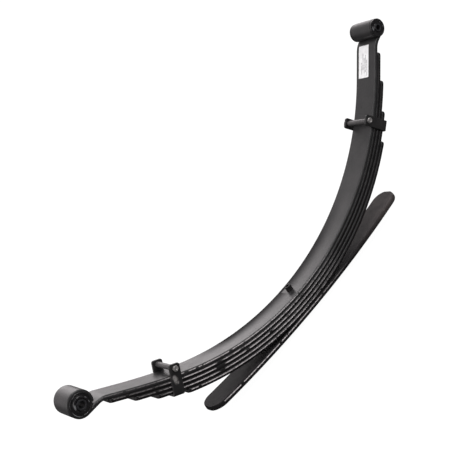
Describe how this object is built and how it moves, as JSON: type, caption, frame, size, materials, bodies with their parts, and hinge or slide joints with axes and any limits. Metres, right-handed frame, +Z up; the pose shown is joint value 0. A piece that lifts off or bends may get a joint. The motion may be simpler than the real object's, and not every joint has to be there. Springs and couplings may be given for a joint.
{
  "type": "leaf spring",
  "caption": "Arched pack of steel leaves with rolled bushed eyes, bolted rebound clips, a centre bolt and a flatter helper leaf beneath.",
  "frame": {"origin": "centre bolt axis at the main leaf's upper face, where the axle perch sits", "axes": "+X along the spring towards the rear (shackle) eye, +Y across the leaves, +Z up towards the concave side and the vehicle frame"},
  "size_m": [1.1041, 0.0889, 0.3772],
  "materials": {
    "leaf_paint": "satin black paint on spring steel",
    "overload_paint": "satin black paint on spring steel",
    "clip_paint": "semi-gloss black paint on mild steel",
    "black_bolt": "black oxide under paint",
    "clip_bolt": "thinly painted zinc",
    "bushing": "glossy black moulded",
    "sleeve_steel": "dark steel tube",
    "label_paper": "white self-adhesive label"
  },
  "bodies": {
    "leaf_pack": {"main_leaf": "leaf_paint", "second_leaf": "leaf_paint", "third_leaf": "leaf_paint", "fourth_leaf": "leaf_paint", "fifth_leaf": "leaf_paint", "overload_leaf": "overload_paint", "center_bolt": "black_bolt", "center_nut": "black_bolt", "front_bushing_left": "bushing", "front_bushing_right": "bushing", "rear_bushing_left": "bushing", "rear_bushing_right": "bushing", "front_clip_strap": "clip_paint", "front_clip_rivet": "clip_paint", "front_clip_bolt": "clip_bolt", "front_clip_nut": "clip_bolt", "front_clip_spacer": "clip_paint", "rear_clip_strap": "clip_paint", "rear_clip_rivet": "clip_paint", "rear_clip_bolt": "clip_bolt", "rear_clip_nut": "clip_bolt", "rear_clip_spacer": "clip_paint", "label": "label_paper"},
    "front_eye_sleeve": {"front_sleeve": "sleeve_steel"},
    "rear_eye_sleeve": {"rear_sleeve": "sleeve_steel"}
  },
  "joints": [
    {"name": "front_eye_pivot", "type": "hinge", "parent": "leaf_pack", "child": "front_eye_sleeve", "pos_m": [-0.50154, 0, 0.19259], "axis": [0, 1, 0], "continuous": true},
    {"name": "rear_eye_pivot", "type": "hinge", "parent": "leaf_pack", "child": "rear_eye_sleeve", "pos_m": [0.5542, 0, 0.28744], "axis": [0, 1, 0], "continuous": true}
  ]
}
